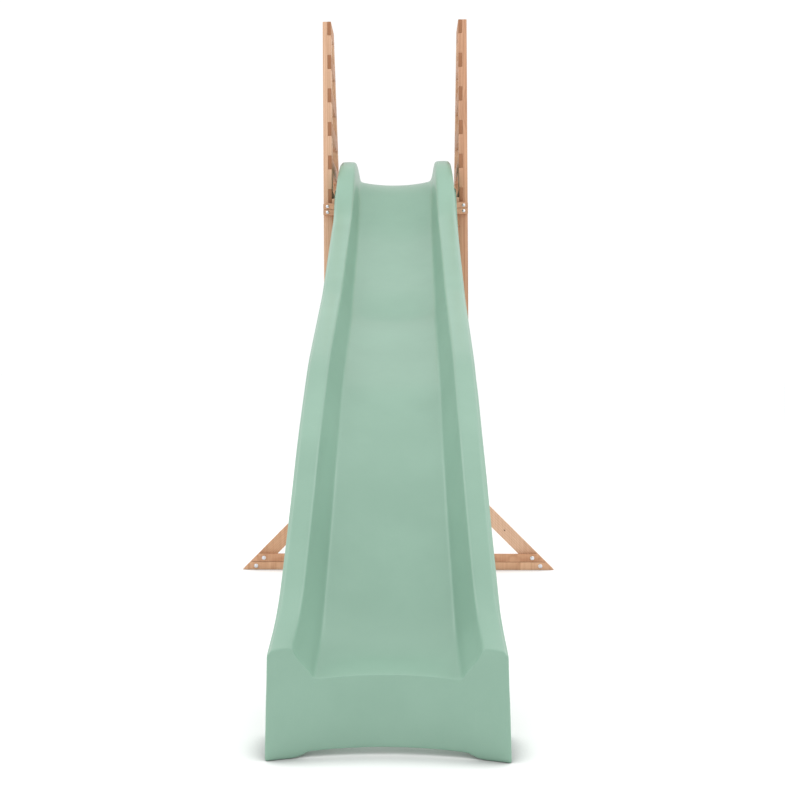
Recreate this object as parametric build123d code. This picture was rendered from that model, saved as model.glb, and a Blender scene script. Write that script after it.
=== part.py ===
from build123d import *
import math
import os

# Free-standing wave slide: a moulded one-piece chute on a timber tower.
# Millimetres. X is across, Y runs from the exit towards the ladder, Z is up.
# Until the last step Y = 0 is the front face of the front posts; the exported
# frame is then moved so that Y = 0 is the middle of the footprint.

# ---- Driving dimensions: timber tower ----
FRAME_WIDTH = 600.0          # over the outer faces of the posts
FRAME_HEIGHT = 2285.0        # ground to the top of the posts
POST_THICKNESS = 35.0        # across X
POST_DEPTH = 70.0            # along Y
LEG_DEPTH = 70.0             # square to the sloping leg
LEG_ANGLE = 29.5             # lean of the rear legs from vertical, degrees
LEG_TOP_SETBACK = 117.0      # post front to leg front at the top

BOARD_THICKNESS = 15.0       # guard boards, let into posts and legs
BOARD_HEIGHT = 57.0
BOARD_PITCH = 140.0
BOARD_COUNT = 6

PLATFORM_HEIGHT = 1545.0     # top of the deck boards
DECK_THICKNESS = 24.0
DECK_BOARD_COUNT = 6
DECK_GAP = 10.0
RAIL_THICKNESS = 30.0        # platform side rails
RAIL_HEIGHT = 95.0

LATH_THICKNESS = 20.0        # front crossboard and base beam strips
CROSS_LATH_HEIGHT = 22.5
BASE_STRIP_HEIGHT = 31.5
LATH_GAP = 1.0
STRIP_PROUD = 2.0            # lower base strip in front of the upper one
BASE_LENGTH = 1290.0         # tip to tip of the base beam, at the ground
BRACE_WIDTH = 57.0           # square to the 45 degree brace
BRACE_THICKNESS = 35.0
ANCHOR_HOLE_RADIUS = 3.0     # through each brace, for a ground stake
ANCHOR_HOLE_HEIGHT = 160.0

TREAD_COUNT = 5
TREAD_DEPTH = 100.0
TREAD_THICKNESS = 28.0
TIE_THICKNESS = 20.0         # low side ties and the rear base rail
TIE_HEIGHT = 57.0
BASE_RAIL_SETBACK = 60.0     # clear gap between the rear base rail and the legs' feet

# ---- Driving dimensions: chute ----
CHUTE_GAP = 12.5             # between a post's inner face and the tip of the side flange
CHUTE_FLARE = 24.0           # how much wider each side is at the exit
FLARE_LENGTH = 700.0
RAIL_RISE = 85.0             # rail top above the profile line
FLANGE_DROP = 20.0           # flange tip below the profile line
FLANGE_WIDTH = 9.0           # out-turned, from the outer wall to its tip
WALL = 6.0                   # moulded wall
EXIT_Y = -2345.0             # front face of the foot, at its two corners
FRONT_BOW = 50.0             # how far the front face curves back in the middle
FOOT_LENGTH = 190.0          # how far the foot's side walls reach back
FOOT_PAD = 62.0              # width of each of the two pads it stands on
FOOT_STEP = 12.0             # relief between the pads
FOOT_STEP_RUN = 40.0
FOOT_ARCH = 5.0              # more relief in the middle
ENTRY_SKIRT_START = 40.0     # the entry stands on the deck from here back
BOSS_RADIUS = 14.0           # hollow columns under the entry, for the screws
BOSS_PLACES = [(-90.0, 120.0), (90.0, 120.0), (-90.0, 230.0), (90.0, 230.0)]
BOSS_SEAT = 28.0             # screw head's seat below the entry's profile line
BED_SCREW_HEAD_RADIUS = 6.0
BED_SCREW_HEAD_HEIGHT = 3.0
BED_SCREW_END = 6.0          # timber left under the screw's tip
BED_SAG = 16.0               # how far the bed is dished
BED_ROUND = 12.0             # reach of the rounding where the inner wall meets the bed
LIP_LIFT = 34.0              # how far the bed rises towards the rails at the exit
LIP_LENGTH = 320.0           # the bed rises over this length before the exit
RAIL_OUTSIDE = 12.0          # side flange tip to the top of the rail's outer wall
RAIL_INSIDE = (86.0, 66.0)   # flange tip to the rail's inner edge, at the entry and the exit
WALL_FOOT = (100.0, 108.0)   # flange tip to the foot of the inner wall, at both ends
EDGE_ROUND = 14.0            # reach of the rounding along the rail's two edges
ENTRY_RISE = 89.0            # profile line at the entry above the deck
EXIT_HEIGHT = 141.0          # profile line at the exit above the ground

# The chute's side profile: corners as (Y, share of the drop left) and the radius of each bend.
PROFILE_PATH = [
    (300.0, 1.0),
    (32.0, 1.0),
    (-155.0, 0.8480),
    (-885.0, 0.5941),
    (-1458.0, 0.4434),
    (-1772.0, 0.3208),
    (-2147.0, 0.0462),
    (-2375.0, 0.0),
]
PROFILE_RADII = [350.0, 700.0, 600.0, 800.0, 700.0, 500.0]
ARC_STEPS = 12
STATION_PITCH = 70.0         # spacing of the cross-sections along the chute

# ---- Driving dimensions: fasteners ----
BOLT_RADIUS = 4.0
BOLT_HEAD_RADIUS = 9.0
BOLT_HEAD_HEIGHT = 5.0
CROSS_BOLT_RADIUS = 3.0
CROSS_HEAD_RADIUS = 7.0
WASHER_THICKNESS = 1.6
NUT_HEIGHT = 6.5
SCREW_RADIUS = 2.25
SCREW_HEAD_RADIUS = 4.5
SCREW_HEAD_DEPTH = 2.5
BOARD_SCREW = 30.0           # lengths of the wood screws
RAIL_SCREW = 55.0
DECK_SCREW = 50.0
POST_SCREW = 70.0
TIE_SCREW = 45.0
BOLT_END = 3.0               # thread showing past the nut
NUT_RADIUS = 1.85            # to its corners, in bolt radii
FIT = 0.3                    # clearance of a shank in its hole

# ---- Values that follow ----
LEAN = math.tan(math.radians(LEG_ANGLE))
LEG_ACROSS = LEG_DEPTH / math.cos(math.radians(LEG_ANGLE))
OUTER = FRAME_WIDTH / 2
INNER = OUTER - POST_THICKNESS
RAIL_TOP = PLATFORM_HEIGHT - DECK_THICKNESS
TREAD_PITCH = PLATFORM_HEIGHT / (TREAD_COUNT + 1)
BRACE_ACROSS = BRACE_WIDTH * math.sqrt(2)
BRACE_AT_POST = BASE_LENGTH / 2 - OUTER
CHUTE_HALF_WIDTH = INNER - CHUTE_GAP
ENTRY_HEIGHT = PLATFORM_HEIGHT + ENTRY_RISE
PROFILE_CORNERS = [(y, EXIT_HEIGHT + share * (ENTRY_HEIGHT - EXIT_HEIGHT))
                   for y, share in PROFILE_PATH]
SIDES = {"left": -1, "right": 1}


def leg_front(z):
    """Y of the sloping leg's front face at height z."""
    return LEG_TOP_SETBACK + (FRAME_HEIGHT - z) * LEAN


def leg_back(z):
    return leg_front(z) + LEG_ACROSS


PLATFORM_END = leg_back(RAIL_TOP)
BASE_RAIL_Y = leg_front(TIE_HEIGHT) - BASE_RAIL_SETBACK
FOOTPRINT_MIDDLE = (EXIT_Y + leg_back(0.0)) / 2


def block(x0, x1, y0, y1, z0, z1):
    """A plain timber between two opposite corners."""
    size = (abs(x1 - x0), abs(y1 - y0), abs(z1 - z0))
    return Pos((x0 + x1) / 2, (y0 + y1) / 2, (z0 + z1) / 2) * Box(*size)


def plate_yz(points, x0, x1):
    """A side profile in (y, z), extruded between two values of X."""
    low, high = sorted((x0, x1))
    face = make_face(Polyline(*[(low, y, z) for y, z in points], close=True))
    return extrude(face, amount=high - low, dir=(1, 0, 0))


def plate_xz(points, y0, y1):
    """A front profile in (x, z), extruded between two values of Y."""
    face = make_face(Polyline(*[(x, y0, z) for x, z in points], close=True))
    return extrude(face, amount=y1 - y0, dir=(0, 1, 0))


def rod(start, direction, radius, length):
    """A round bar from a start point along a direction."""
    plane = Plane(origin=start, z_dir=direction)
    return plane * Pos(0, 0, length / 2) * Cylinder(radius, length)


def joined(solids):
    return Compound(children=[item for solid in solids for item in solid.solids()])


# ---- Fasteners: each is one solid along +direction from its head ----
def screw(start, direction, length):
    """Countersunk wood screw whose head lies flush at the start point."""
    plane = Plane(origin=start, z_dir=direction)
    head = Pos(0, 0, SCREW_HEAD_DEPTH / 2) * Cone(SCREW_HEAD_RADIUS, SCREW_RADIUS, SCREW_HEAD_DEPTH)
    shank = Pos(0, 0, length / 2) * Cylinder(SCREW_RADIUS, length)
    return plane * (head + shank)


def screw_hole(start, direction, length):
    """What a countersunk screw takes out of the timber."""
    plane = Plane(origin=start, z_dir=direction)
    depth = SCREW_HEAD_DEPTH + FIT
    head = Pos(0, 0, depth / 2) * Cone(SCREW_HEAD_RADIUS + FIT, SCREW_RADIUS + FIT, depth)
    shank = Pos(0, 0, (length + FIT) / 2) * Cylinder(SCREW_RADIUS + FIT, length + FIT)
    return plane * (head + shank)


def domed_bolt(x, z, y_face, grip, radius, head_radius):
    """Coach bolt: domed head on the front face, shank along +Y."""
    ball = (head_radius ** 2 + BOLT_HEAD_HEIGHT ** 2) / (2 * BOLT_HEAD_HEIGHT)
    dome = Pos(0, 0, ball - BOLT_HEAD_HEIGHT) * Sphere(ball)
    keep = Pos(0, 0, -BOLT_HEAD_HEIGHT / 2) * Cylinder(head_radius, BOLT_HEAD_HEIGHT)
    length = grip + WASHER_THICKNESS + NUT_HEIGHT + BOLT_END
    shank = Pos(0, 0, length / 2) * Cylinder(radius, length)
    plane = Plane(origin=(x, y_face, z), z_dir=(0, 1, 0))
    return plane * ((dome & keep) + shank)


def washer(x, z, y_back, radius, head_radius):
    ring = Cylinder(head_radius, WASHER_THICKNESS) - Cylinder(radius + FIT, WASHER_THICKNESS)
    plane = Plane(origin=(x, y_back, z), z_dir=(0, 1, 0))
    return plane * Pos(0, 0, WASHER_THICKNESS / 2) * ring


def nut(x, z, y_back, radius):
    hexagon = extrude(RegularPolygon(radius * NUT_RADIUS, 6), NUT_HEIGHT) - Cylinder(
        radius + FIT, 3 * NUT_HEIGHT)
    return Plane(origin=(x, y_back + WASHER_THICKNESS, z), z_dir=(0, 1, 0)) * hexagon


# ---- Chute: a thin wall carried along the profile ----
def rounded_profile():
    """The profile's corners rounded by tangent arcs, as a dense list of (y, z)."""
    points = [Vector(*PROFILE_CORNERS[0])]
    for index, radius in enumerate(PROFILE_RADII, start=1):
        before, corner, after = (Vector(*PROFILE_CORNERS[index + k]) for k in (-1, 0, 1))
        to_before = (before - corner).normalized()
        to_after = (after - corner).normalized()
        half = math.acos(max(-1.0, min(1.0, to_before.dot(to_after)))) / 2
        reach = min(radius / math.tan(half), 0.48 * (before - corner).length,
                    0.48 * (after - corner).length)
        radius = reach * math.tan(half)
        middle = corner + (to_before + to_after).normalized() * (radius / math.sin(half))
        start = corner + to_before * reach - middle
        end = corner + to_after * reach - middle
        turn = math.atan2(start.X * end.Y - start.Y * end.X, start.dot(end))
        for step in range(ARC_STEPS + 1):
            angle = turn * step / ARC_STEPS
            points.append(middle + Vector(
                start.X * math.cos(angle) - start.Y * math.sin(angle),
                start.X * math.sin(angle) + start.Y * math.cos(angle)))
    points.append(Vector(*PROFILE_CORNERS[-1]))
    return points


def stations():
    """Evenly spaced (y, z, tangent y, tangent z) along the rounded profile."""
    points = rounded_profile()
    lengths = [0.0]
    for first, second in zip(points, points[1:]):
        lengths.append(lengths[-1] + (second - first).length)
    count = round(lengths[-1] / STATION_PITCH)
    spots = []
    for index in range(count + 1):
        target = lengths[-1] * index / count
        piece = max(k for k in range(len(points) - 1) if lengths[k] <= target + 1e-9)
        span = lengths[piece + 1] - lengths[piece]
        spots.append(points[piece] + (points[piece + 1] - points[piece]) * (
            (target - lengths[piece]) / span))
    result = []
    for index, spot in enumerate(spots):
        ahead = spots[min(index + 1, count)]
        behind = spots[max(index - 1, 0)]
        tangent = (ahead - behind).normalized()
        result.append((spot.X, spot.Y, tangent.X, tangent.Y))
    return result


def smooth(value):
    value = max(0.0, min(1.0, value))
    return value * value * (3 - 2 * value)


def half_section(y):
    """Upper surface from the flange tip to the centre, as (x, height over the profile line)."""
    to_exit = y - PROFILE_CORNERS[-1][0]
    edge = CHUTE_HALF_WIDTH + CHUTE_FLARE * smooth(1 - to_exit / FLARE_LENGTH)
    bed = LIP_LIFT * smooth(1 - to_exit / LIP_LENGTH)
    along = max(0.0, min(1.0, y / EXIT_Y))
    inside = edge - RAIL_INSIDE[0] - (RAIL_INSIDE[1] - RAIL_INSIDE[0]) * along
    foot = edge - WALL_FOOT[0] - (WALL_FOOT[1] - WALL_FOOT[0]) * along
    outside = edge - RAIL_OUTSIDE
    flange = WALL - FLANGE_DROP
    return [
        (edge, flange),
        (edge - FLANGE_WIDTH, flange),
        (outside, RAIL_RISE - EDGE_ROUND),
        (outside - EDGE_ROUND * 0.35, RAIL_RISE - EDGE_ROUND * 0.3),
        (outside - EDGE_ROUND, RAIL_RISE),
        (inside + EDGE_ROUND, RAIL_RISE),
        (inside + EDGE_ROUND * 0.4, RAIL_RISE - EDGE_ROUND * 0.2),
        (inside, RAIL_RISE - EDGE_ROUND * 0.9),
        (foot, bed + BED_ROUND * 0.75),
        (foot - BED_ROUND * 0.6, bed),
        (foot - BED_ROUND * 1.5, bed - BED_SAG * 0.2),
        (foot * 0.5, bed - BED_SAG * 0.85),
        (0.0, bed - BED_SAG),
    ]


def lowered(points, depth):
    """The same line moved square to itself, to the wall's other side."""
    result = []
    last = len(points) - 1
    for index, (x, n) in enumerate(points):
        x0, n0 = points[max(index - 1, 0)]
        x1, n1 = points[min(index + 1, last)]
        before = math.atan2(n - n0, x - x0) if index else math.atan2(n1 - n, x1 - x)
        after = math.atan2(n1 - n, x1 - x) if index < last else before
        turn = math.remainder(after - before, 2 * math.pi)
        miter = depth / math.cos(turn / 2)
        heading = before + turn / 2
        result.append((x - math.sin(heading) * miter, n + math.cos(heading) * miter))
    result[-1] = (0.0, n - depth)
    return result


def section_wire(y, z, tangent_y, tangent_z):
    """Closed outline of the wall at one station, square to the profile."""
    upper = half_section(y)
    lower = lowered(upper, WALL)
    ring = upper + [(-x, n) for x, n in reversed(upper[:-1])]
    ring += [(-x, n) for x, n in lower[:-1]] + list(reversed(lower))
    normal_y, normal_z = tangent_z, -tangent_y
    return Polyline(*[(x, y + n * normal_y, z + n * normal_z) for x, n in ring], close=True)


def space_above(spots, height):
    """Everything above the chute's upper surface over some stations, past its flanges too."""
    faces = []
    for y, z, tangent_y, tangent_z in spots:
        upper = half_section(y)
        beyond = upper[0][0] + height
        ring = [(beyond, upper[0][1])] + upper + [(-x, n) for x, n in reversed(upper[:-1])]
        ring += [(-beyond, upper[0][1]), (-beyond, height), (beyond, height)]
        points = [(x, y + n * tangent_z, z - n * tangent_y) for x, n in ring]
        faces.append(make_face(Polyline(*points, close=True)))
    return loft(faces)


def foot_skirt(spots):
    """The foot's front and side walls, in plan a bowed front between two side walls."""
    back = EXIT_Y + FOOT_LENGTH
    front_half = half_section(EXIT_Y)[1][0]
    back_half = half_section(back)[1][0]

    def plan(inset):
        front = ThreePointArc(
            (-front_half + inset, EXIT_Y + inset),
            (0, EXIT_Y + FRONT_BOW + inset),
            (front_half - inset, EXIT_Y + inset))
        rest = Polyline(
            (front_half - inset, EXIT_Y + inset),
            (back_half - inset, back + inset),
            (-back_half + inset, back + inset),
            (-front_half + inset, EXIT_Y + inset))
        return make_face(front + rest)

    tall = PROFILE_CORNERS[-2][1] + RAIL_RISE * 2
    walls = extrude(plan(0.0) - plan(WALL), amount=tall)
    walls = walls - space_above(spots, RAIL_RISE * 3)
    half = front_half - FOOT_PAD
    arch = Polyline(
        (half - FOOT_STEP_RUN, EXIT_Y, FOOT_STEP), (half, EXIT_Y, 0),
        (half, EXIT_Y, -FOOT_STEP), (-half, EXIT_Y, -FOOT_STEP),
        (-half, EXIT_Y, 0), (-half + FOOT_STEP_RUN, EXIT_Y, FOOT_STEP))
    crown = ThreePointArc(
        (-half + FOOT_STEP_RUN, EXIT_Y, FOOT_STEP), (0, EXIT_Y, FOOT_STEP + FOOT_ARCH),
        (half - FOOT_STEP_RUN, EXIT_Y, FOOT_STEP))
    cut = extrude(make_face(arch + crown), amount=FRONT_BOW + 2 * WALL, dir=(0, 1, 0))
    return walls - cut


def entry_skirt(spots):
    """Walls and screw columns that carry the entry on the deck."""
    half = CHUTE_HALF_WIDTH - FLANGE_WIDTH
    back = PROFILE_CORNERS[0][0]
    tall = PROFILE_CORNERS[0][1] + RAIL_RISE
    walls = block(-half, half, ENTRY_SKIRT_START, back, PLATFORM_HEIGHT, tall)
    walls -= block(-half + WALL, half - WALL, ENTRY_SKIRT_START - WALL, back - WALL,
                   PLATFORM_HEIGHT, tall)
    columns = [rod((x, y, PLATFORM_HEIGHT), (0, 0, 1), BOSS_RADIUS, tall - PLATFORM_HEIGHT)
               for x, y in BOSS_PLACES]
    above = space_above(spots, RAIL_RISE * 2)
    return [piece - above for piece in [walls] + columns]


def flange_trims():
    """What is outside the walls where they run on down: the entry and the foot have no flange."""
    trims = []
    for front, back in ((EXIT_Y - RAIL_RISE, EXIT_Y + FOOT_LENGTH),
                        (ENTRY_SKIRT_START, PROFILE_CORNERS[0][0] + WALL)):
        near = half_section(front)[1][0]
        far = half_section(back)[1][0]
        wide = near + RAIL_RISE
        for side in SIDES.values():
            plan = [(side * near, front), (side * far, back), (side * wide, back),
                    (side * wide, front)]
            trims.append(extrude(make_face(Polyline(*plan, close=True)), amount=FRAME_HEIGHT))
    return trims


def chute():
    spots = stations()
    faces = [make_face(section_wire(*spot)) for spot in spots]
    shell = loft(faces)
    reach = CHUTE_HALF_WIDTH * 1.2
    corner = bowed_front(reach)
    trim_front = ThreePointArc((-reach, corner), (0, EXIT_Y + FRONT_BOW), (reach, corner))
    trim_rest = Polyline(
        (reach, corner), (reach, FRAME_WIDTH), (-reach, FRAME_WIDTH), (-reach, corner))
    shell = shell & extrude(make_face(trim_front + trim_rest), amount=FRAME_HEIGHT)
    exit_spots = [spot for spot in spots if spot[0] < EXIT_Y + 2 * FOOT_LENGTH]
    entry_spots = [spot for spot in spots if spot[0] > -STATION_PITCH / 2]
    body = shell + foot_skirt(exit_spots)
    for piece in entry_skirt(entry_spots):
        body += piece
    for trim in flange_trims():
        body -= trim
    for x, y in BOSS_PLACES:
        seat = PROFILE_CORNERS[0][1] - BOSS_SEAT
        body -= rod((x, y, PLATFORM_HEIGHT - WALL), (0, 0, 1), SCREW_RADIUS + FIT, 2 * RAIL_RISE)
        body -= rod((x, y, seat), (0, 0, 1), BED_SCREW_HEAD_RADIUS + 2 * FIT, RAIL_RISE)
    return body


def bowed_front(x):
    """Y of the arc that continues the bowed front face at a distance x from the middle."""
    half = half_section(EXIT_Y)[1][0]
    radius = (half ** 2 + FRONT_BOW ** 2) / (2 * FRONT_BOW)
    return EXIT_Y + FRONT_BOW - radius + math.sqrt(radius ** 2 - x ** 2)


def bed_screws():
    seat = PROFILE_CORNERS[0][1] - BOSS_SEAT
    tip = PLATFORM_HEIGHT - DECK_THICKNESS + BED_SCREW_END
    pieces = []
    for x, y in BOSS_PLACES:
        head = rod((x, y, seat), (0, 0, 1), BED_SCREW_HEAD_RADIUS, BED_SCREW_HEAD_HEIGHT)
        pieces.append(head + rod((x, y, tip), (0, 0, 1), SCREW_RADIUS, seat - tip + 1.0))
    return pieces


# ---- Timber tower ----
def board_levels():
    """Top and bottom of each guard board, from the highest down."""
    tops = [FRAME_HEIGHT - BOARD_PITCH * index for index in range(BOARD_COUNT)]
    return [(top, top - BOARD_HEIGHT) for top in tops]


def guard_board(side, top, bottom):
    outline = [(0, bottom), (0, top), (leg_back(top), top), (leg_back(bottom), bottom)]
    return plate_yz(outline, side * INNER, side * (INNER + BOARD_THICKNESS))


def screw_sets():
    """Every wood screw as (start, direction, length), grouped by what it fastens."""
    sets = {"guard_screws": [], "rail_screws": [], "deck_screws": [], "tread_screws": [],
            "brace_screws": [], "tie_screws": [], "beam_screws": []}
    for side in SIDES.values():
        out = (side, 0, 0)
        into = (-side, 0, 0)
        for top, bottom in board_levels():
            for z in (top - BOARD_HEIGHT / 4, bottom + BOARD_HEIGHT / 4):
                for y in (POST_DEPTH / 2, leg_front(z) + LEG_ACROSS / 2):
                    sets["guard_screws"].append(((side * INNER, y, z), out, BOARD_SCREW))
        rail_face = side * (INNER - RAIL_THICKNESS)
        for drop in (0.6, 0.8):
            z = RAIL_TOP - RAIL_HEIGHT * drop
            sets["rail_screws"].append(((rail_face, POST_DEPTH / 2, z), out, RAIL_SCREW))
        for drop in (0.38, 0.7):
            z = RAIL_TOP - RAIL_HEIGHT * drop
            y = leg_front(z) + LEG_ACROSS / 5
            sets["rail_screws"].append(((rail_face, y, z), out, RAIL_SCREW))
        for drop in (0.54, 0.86):
            start = (side * (INNER - RAIL_THICKNESS / 2), PLATFORM_END + LATH_THICKNESS,
                     RAIL_TOP - RAIL_HEIGHT * drop)
            sets["rail_screws"].append((start, (0, -1, 0), RAIL_SCREW))
        for y0, y1 in deck_spans():
            for y in (y0 + (y1 - y0) / 4, y1 - (y1 - y0) / 4):
                start = (side * (INNER - RAIL_THICKNESS / 2), y, PLATFORM_HEIGHT)
                sets["deck_screws"].append((start, (0, 0, -1), DECK_SCREW))
        for top in tread_tops():
            z = top - TREAD_THICKNESS / 2
            middle = leg_front(z) + LEG_ACROSS / 2
            for y in (middle - TREAD_DEPTH / 5, middle + TREAD_DEPTH / 5):
                sets["tread_screws"].append(((side * OUTER, y, z), into, POST_SCREW))
        for rise in (0.2, 0.5):
            z = BRACE_AT_POST - BRACE_ACROSS * (1 - rise)
            start = (side * INNER, BRACE_THICKNESS / 2, z)
            sets["brace_screws"].append((start, out, POST_SCREW))
        for z in (TIE_HEIGHT * 0.3, TIE_HEIGHT * 0.7):
            tie_face = side * (INNER - TIE_THICKNESS)
            sets["tie_screws"].append(((tie_face, POST_DEPTH * 0.65, z), out, TIE_SCREW))
            y = leg_front(z) + LEG_ACROSS / 2
            sets["tie_screws"].append(((tie_face, y, z), out, TIE_SCREW))
            start = (side * INNER, BASE_RAIL_Y + TIE_THICKNESS / 2, z)
            sets["tie_screws"].append((start, into, RAIL_SCREW))
        x = side * (INNER + POST_THICKNESS / 2)
        for z, proud in strip_levels():
            sets["beam_screws"].append(((x, -LATH_THICKNESS - proud, z), (0, 1, 0), RAIL_SCREW))
    return sets


def deck_spans():
    width = (PLATFORM_END - DECK_GAP * (DECK_BOARD_COUNT - 1)) / DECK_BOARD_COUNT
    starts = [(width + DECK_GAP) * index for index in range(DECK_BOARD_COUNT)]
    return [(start, start + width) for start in starts]


def tread_tops():
    return [TREAD_PITCH * (index + 1) for index in range(TREAD_COUNT)]


def strip_levels():
    """Mid height and extra thickness of the lower and upper base strips."""
    upper = BASE_STRIP_HEIGHT * 1.5 + LATH_GAP
    return [(BASE_STRIP_HEIGHT / 2, STRIP_PROUD), (upper, 0.0)]


def base_bolt_spots():
    """Each base bolt as (x, z, front face Y), on the middle line of its brace."""
    middle = BASE_LENGTH / 2 - BRACE_ACROSS / 2
    return [(side * (middle - z), z, -LATH_THICKNESS - proud)
            for side in SIDES.values() for z, proud in strip_levels()]


def cross_bolt_spots():
    lower = RAIL_TOP - LATH_GAP - CROSS_LATH_HEIGHT * 1.5
    heights = (lower, RAIL_TOP - CROSS_LATH_HEIGHT / 2)
    return [(side * (INNER + POST_THICKNESS / 2), z) for side in SIDES.values() for z in heights]


def base_strip(bottom, top, proud):
    tip = BASE_LENGTH / 2
    outline = [(-tip + bottom, bottom), (tip - bottom, bottom), (tip - top, top), (-tip + top, top)]
    return plate_xz(outline, -LATH_THICKNESS - proud, 0.0)


def brace(side):
    tip = BASE_LENGTH / 2
    outline = [(tip, 0), (tip - BRACE_ACROSS, 0), (OUTER, BRACE_AT_POST - BRACE_ACROSS),
               (OUTER, BRACE_AT_POST)]
    solid = plate_xz([(side * x, z) for x, z in outline], 0.0, BRACE_THICKNESS)
    hole_x = side * (tip - BRACE_ACROSS / 2 - ANCHOR_HOLE_HEIGHT)
    hole = rod((hole_x, -1, ANCHOR_HOLE_HEIGHT), (0, 1, 0), ANCHOR_HOLE_RADIUS, BRACE_THICKNESS + 2)
    return solid - hole


def timber():
    """Every timber piece by node name, before its screw and bolt holes."""
    pieces = {}
    for name, side in SIDES.items():
        boards = [guard_board(side, top, bottom) for top, bottom in board_levels()]
        post = block(side * INNER, side * OUTER, 0, POST_DEPTH, 0, FRAME_HEIGHT)
        outline = [(leg_front(0), 0), (leg_back(0), 0), (leg_back(FRAME_HEIGHT), FRAME_HEIGHT),
                   (leg_front(FRAME_HEIGHT), FRAME_HEIGHT)]
        leg = plate_yz(outline, side * INNER, side * OUTER)
        for number, board in enumerate(boards, start=1):
            post -= board
            leg -= board
            pieces[f"guard_board_{name}_{number}"] = board
        pieces[f"front_post_{name}"] = post
        pieces[f"rear_leg_{name}"] = leg
        pieces[f"brace_{name}"] = brace(side)
        pieces[f"platform_rail_{name}"] = block(
            side * (INNER - RAIL_THICKNESS), side * INNER, 0, PLATFORM_END,
            RAIL_TOP - RAIL_HEIGHT, RAIL_TOP)
        pieces[f"foot_tie_{name}"] = block(
            side * (INNER - TIE_THICKNESS), side * INNER, 0, leg_back(TIE_HEIGHT), 0, TIE_HEIGHT)
    for number, (y0, y1) in enumerate(deck_spans(), start=1):
        pieces[f"deck_board_{number}"] = block(-INNER, INNER, y0, y1, RAIL_TOP, PLATFORM_HEIGHT)
    for number, top in enumerate(tread_tops(), start=1):
        middle = leg_front(top - TREAD_THICKNESS / 2) + LEG_ACROSS / 2
        pieces[f"ladder_tread_{number}"] = block(
            -INNER, INNER, middle - TREAD_DEPTH / 2, middle + TREAD_DEPTH / 2,
            top - TREAD_THICKNESS, top)
    lower_top = RAIL_TOP - CROSS_LATH_HEIGHT - LATH_GAP
    pieces["crossboard_upper"] = block(
        -OUTER, OUTER, -LATH_THICKNESS, 0, RAIL_TOP - CROSS_LATH_HEIGHT, RAIL_TOP)
    pieces["crossboard_lower"] = block(
        -OUTER, OUTER, -LATH_THICKNESS, 0, lower_top - CROSS_LATH_HEIGHT, lower_top)
    pieces["rear_crossboard"] = block(
        -INNER, INNER, PLATFORM_END, PLATFORM_END + LATH_THICKNESS, RAIL_TOP - RAIL_HEIGHT, RAIL_TOP)
    pieces["base_strip_lower"] = base_strip(0.0, BASE_STRIP_HEIGHT, STRIP_PROUD)
    pieces["base_strip_upper"] = base_strip(
        BASE_STRIP_HEIGHT + LATH_GAP, BASE_STRIP_HEIGHT * 2 + LATH_GAP, 0.0)
    pieces["rear_base_rail"] = block(
        -INNER + TIE_THICKNESS, INNER - TIE_THICKNESS, BASE_RAIL_Y, BASE_RAIL_Y + TIE_THICKNESS,
        0, TIE_HEIGHT)
    return pieces


def meets(box, other):
    """Whether two bounding boxes touch."""
    return all(low <= high for low, high in (
        (box.min.X, other.max.X), (other.min.X, box.max.X), (box.min.Y, other.max.Y),
        (other.min.Y, box.max.Y), (box.min.Z, other.max.Z), (other.min.Z, box.max.Z)))


def drilled(solid, holes):
    """A timber with the holes that reach it."""
    for hole, box in holes:
        if meets(box, solid.bounding_box()):
            solid = solid - hole
    return solid


def main():
    os.makedirs("parts", exist_ok=True)
    nodes = {"slide_body": [chute()], "slide_screws": bed_screws()}
    holes = []
    for name, places in screw_sets().items():
        nodes[name] = [screw(*place) for place in places]
        holes += [screw_hole(*place) for place in places]
    tip = PLATFORM_HEIGHT - DECK_THICKNESS + BED_SCREW_END - FIT
    holes += [rod((x, y, tip), (0, 0, 1), SCREW_RADIUS + FIT, DECK_THICKNESS)
              for x, y in BOSS_PLACES]
    for kind in ("bolts", "washers", "nuts"):
        nodes[f"base_{kind}"] = []
        nodes[f"crossboard_{kind}"] = []
    for x, z, face in base_bolt_spots():
        nodes["base_bolts"].append(domed_bolt(
            x, z, face, BRACE_THICKNESS - face, BOLT_RADIUS, BOLT_HEAD_RADIUS))
        nodes["base_washers"].append(washer(x, z, BRACE_THICKNESS, BOLT_RADIUS, BOLT_HEAD_RADIUS))
        nodes["base_nuts"].append(nut(x, z, BRACE_THICKNESS, BOLT_RADIUS))
        holes.append(rod((x, face - 1, z), (0, 1, 0), BOLT_RADIUS + FIT, 2 * BRACE_THICKNESS))
    for x, z in cross_bolt_spots():
        nodes["crossboard_bolts"].append(domed_bolt(
            x, z, -LATH_THICKNESS, LATH_THICKNESS + POST_DEPTH, CROSS_BOLT_RADIUS,
            CROSS_HEAD_RADIUS))
        nodes["crossboard_washers"].append(washer(
            x, z, POST_DEPTH, CROSS_BOLT_RADIUS, CROSS_HEAD_RADIUS))
        nodes["crossboard_nuts"].append(nut(x, z, POST_DEPTH, CROSS_BOLT_RADIUS))
        start = (x, -LATH_THICKNESS - 1, z)
        length = LATH_THICKNESS + POST_DEPTH + 2
        holes.append(rod(start, (0, 1, 0), CROSS_BOLT_RADIUS + FIT, length))
    boxed = [(hole, hole.bounding_box()) for hole in holes]
    for name, solid in timber().items():
        nodes[name] = [drilled(solid, boxed)]
    centre = Pos(0, -FOOTPRINT_MIDDLE, 0)
    for name, solids in nodes.items():
        export_step(centre * joined(solids), f"parts/{name}.step")


main()
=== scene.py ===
import math

import bmesh
import bpy
from mathutils import Matrix, Vector


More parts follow.
